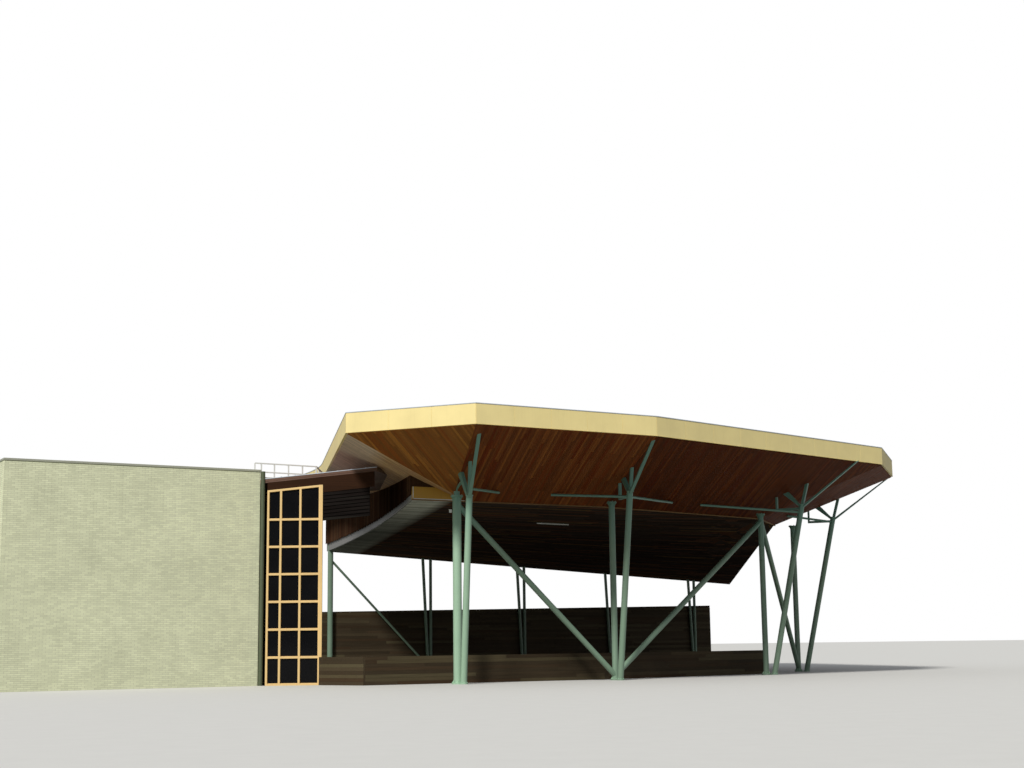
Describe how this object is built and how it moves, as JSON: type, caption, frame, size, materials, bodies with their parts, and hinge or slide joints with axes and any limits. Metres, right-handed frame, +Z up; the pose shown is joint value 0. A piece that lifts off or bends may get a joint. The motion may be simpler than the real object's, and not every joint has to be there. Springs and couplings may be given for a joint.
{
  "type": "bandstand with a faceted canopy roof, 1:2 scale model",
  "caption": "Open-air concert bandstand at 1:2 scale: a flat faceted roof with timber soffits on green steel posts, beside a brick stage house.",
  "frame": {"origin": "foot of the front left upright post, on the ground", "axes": "+X along the front fascia to the right, +Y from the front to the rear, +Z up"},
  "size_m": [26.3245, 15.725, 5.365],
  "materials": {
    "fascia": "satin",
    "flashing": "satin",
    "roofing": "matte",
    "soffit_timber": "satin",
    "pale_timber": "matte",
    "dark_timber": "matte",
    "edge_paint": "matte",
    "green_steel": "satin",
    "brick": "matte",
    "white_steel": "satin",
    "amber_timber": "satin",
    "glazing": "gloss"
  },
  "bodies": {
    "root": {"fascia_left": "fascia", "fascia_corner": "fascia", "fascia_front": "fascia", "fascia_wing": "fascia", "fascia_far_corner": "fascia", "fascia_right": "fascia", "fascia_rear": "fascia", "fascia_cap": "flashing", "roof_deck": "roofing", "soffit_left": "pale_timber", "soffit_left_rear": "pale_timber", "soffit_corner": "soffit_timber", "soffit_front": "soffit_timber", "soffit_wing": "soffit_timber", "soffit_far_corner": "soffit_timber", "soffit_right": "soffit_timber", "soffit_rear": "soffit_timber", "low_ceiling": "dark_timber", "ceiling_trim": "white_steel", "edge_band_front": "amber_timber", "edge_band_left": "edge_paint", "drum_left": "dark_timber", "drum_right": "dark_timber", "drum_rear": "dark_timber", "front_post_1": "green_steel", "front_post_2": "green_steel", "front_post_3": "green_steel", "front_post_4": "green_steel", "tree_head_1": "green_steel", "tree_head_2": "green_steel", "tree_head_3": "green_steel", "tree_head_4": "green_steel", "brace_1": "green_steel", "brace_2": "green_steel", "brace_3": "green_steel", "rear_post_1": "green_steel", "rear_post_2": "green_steel", "rear_post_3": "green_steel", "rear_post_4": "green_steel", "rear_post_5": "green_steel", "rear_brace": "green_steel", "parapet_return": "dark_timber", "parapet_front": "dark_timber", "parapet_wing": "dark_timber", "rear_wall": "dark_timber", "house_front_wall": "brick", "house_left_wall": "brick", "house_right_wall": "brick", "house_rear_wall": "brick", "house_roof": "roofing", "house_coping": "edge_paint", "corner_downpipe": "green_steel", "roof_railing": "white_steel", "bay_front_frame": "amber_timber", "bay_side_frame": "amber_timber", "bay_back_wall": "amber_timber", "bay_roof": "roofing", "bay_beam": "amber_timber", "lapped_boards": "pale_timber", "bay_glass": "glazing"}
  },
  "joints": []
}
